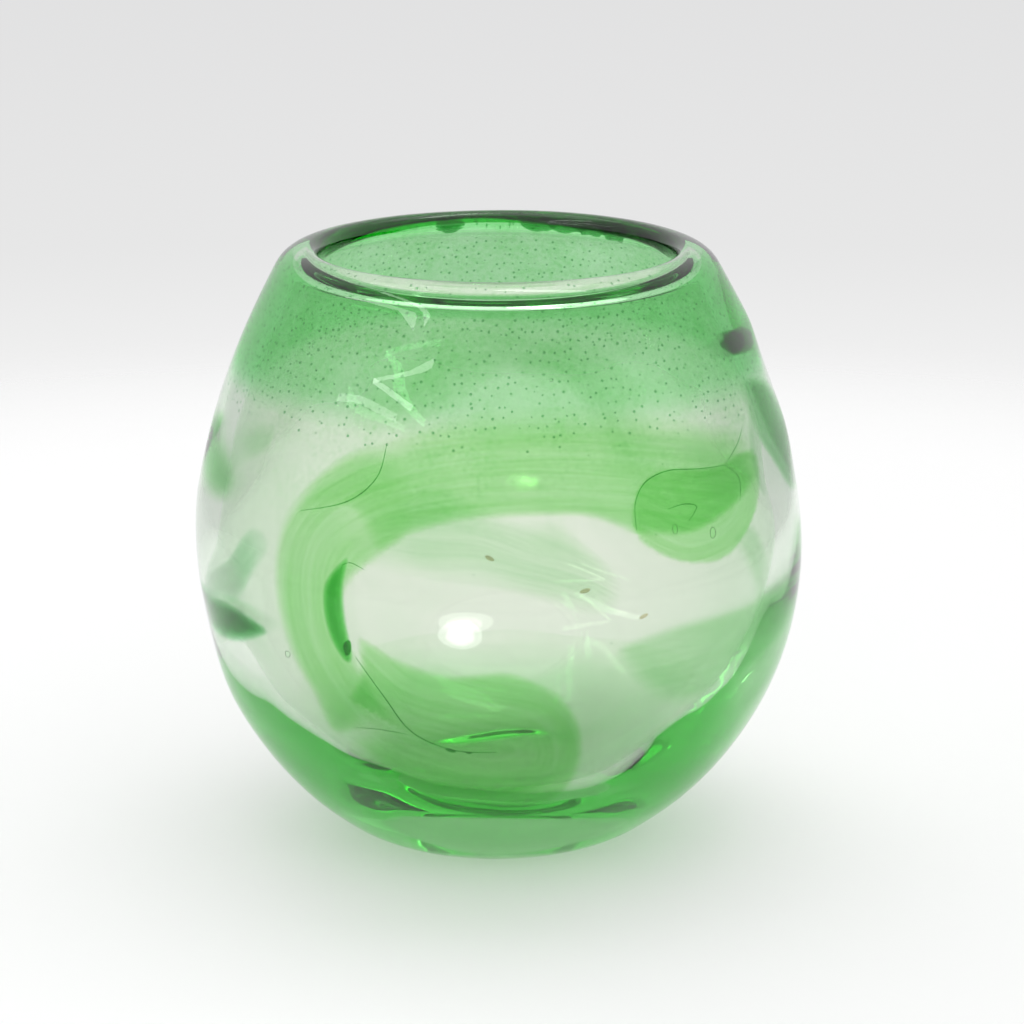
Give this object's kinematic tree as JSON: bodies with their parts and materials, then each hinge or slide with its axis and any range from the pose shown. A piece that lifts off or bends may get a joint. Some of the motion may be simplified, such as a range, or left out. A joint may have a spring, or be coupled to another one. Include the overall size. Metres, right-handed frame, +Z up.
{
  "type": "art glass vase",
  "caption": "Round-bodied hand blown vase in thick cased glass, with a green mottled shoulder, looping green ribbons in the wall and a heavy base.",
  "frame": {"origin": "middle of the ground flat under the base, on the surface it stands on", "axes": "+Z up along the vase's own axis; -Y is the front, where the large ribbon shows; +X is to the right seen from the front"},
  "size_m": [0.152, 0.152, 0.1495],
  "materials": {
    "clear_glass": "fire-polished",
    "mottled_green_glass": "fused powder and frit",
    "green_glass": "transparent",
    "streaky_green_glass": "streaky, transparent",
    "deep_green_glass": "dense, transparent",
    "amber_glass": "dense, transparent"
  },
  "bodies": {
    "root": {"clear_lining": "clear_glass", "outer_casing": "clear_glass", "shoulder_frit": "mottled_green_glass", "base_pool": "green_glass", "right_curl_ribbon": "streaky_green_glass", "arch_ribbon": "streaky_green_glass", "left_bend_ribbon": "streaky_green_glass", "lower_lobe_ribbon": "streaky_green_glass", "lower_right_ribbon": "streaky_green_glass", "right_edge_ribbon": "streaky_green_glass", "left_upper_ribbon": "streaky_green_glass", "left_lower_ribbon": "deep_green_glass", "back_arch_ribbon": "streaky_green_glass", "back_lower_ribbon": "streaky_green_glass", "dark_crescent": "deep_green_glass", "right_edge_bit": "deep_green_glass", "fold_threads": "deep_green_glass", "lip_frit_chips": "deep_green_glass", "amber_flecks": "amber_glass"}
  },
  "joints": []
}
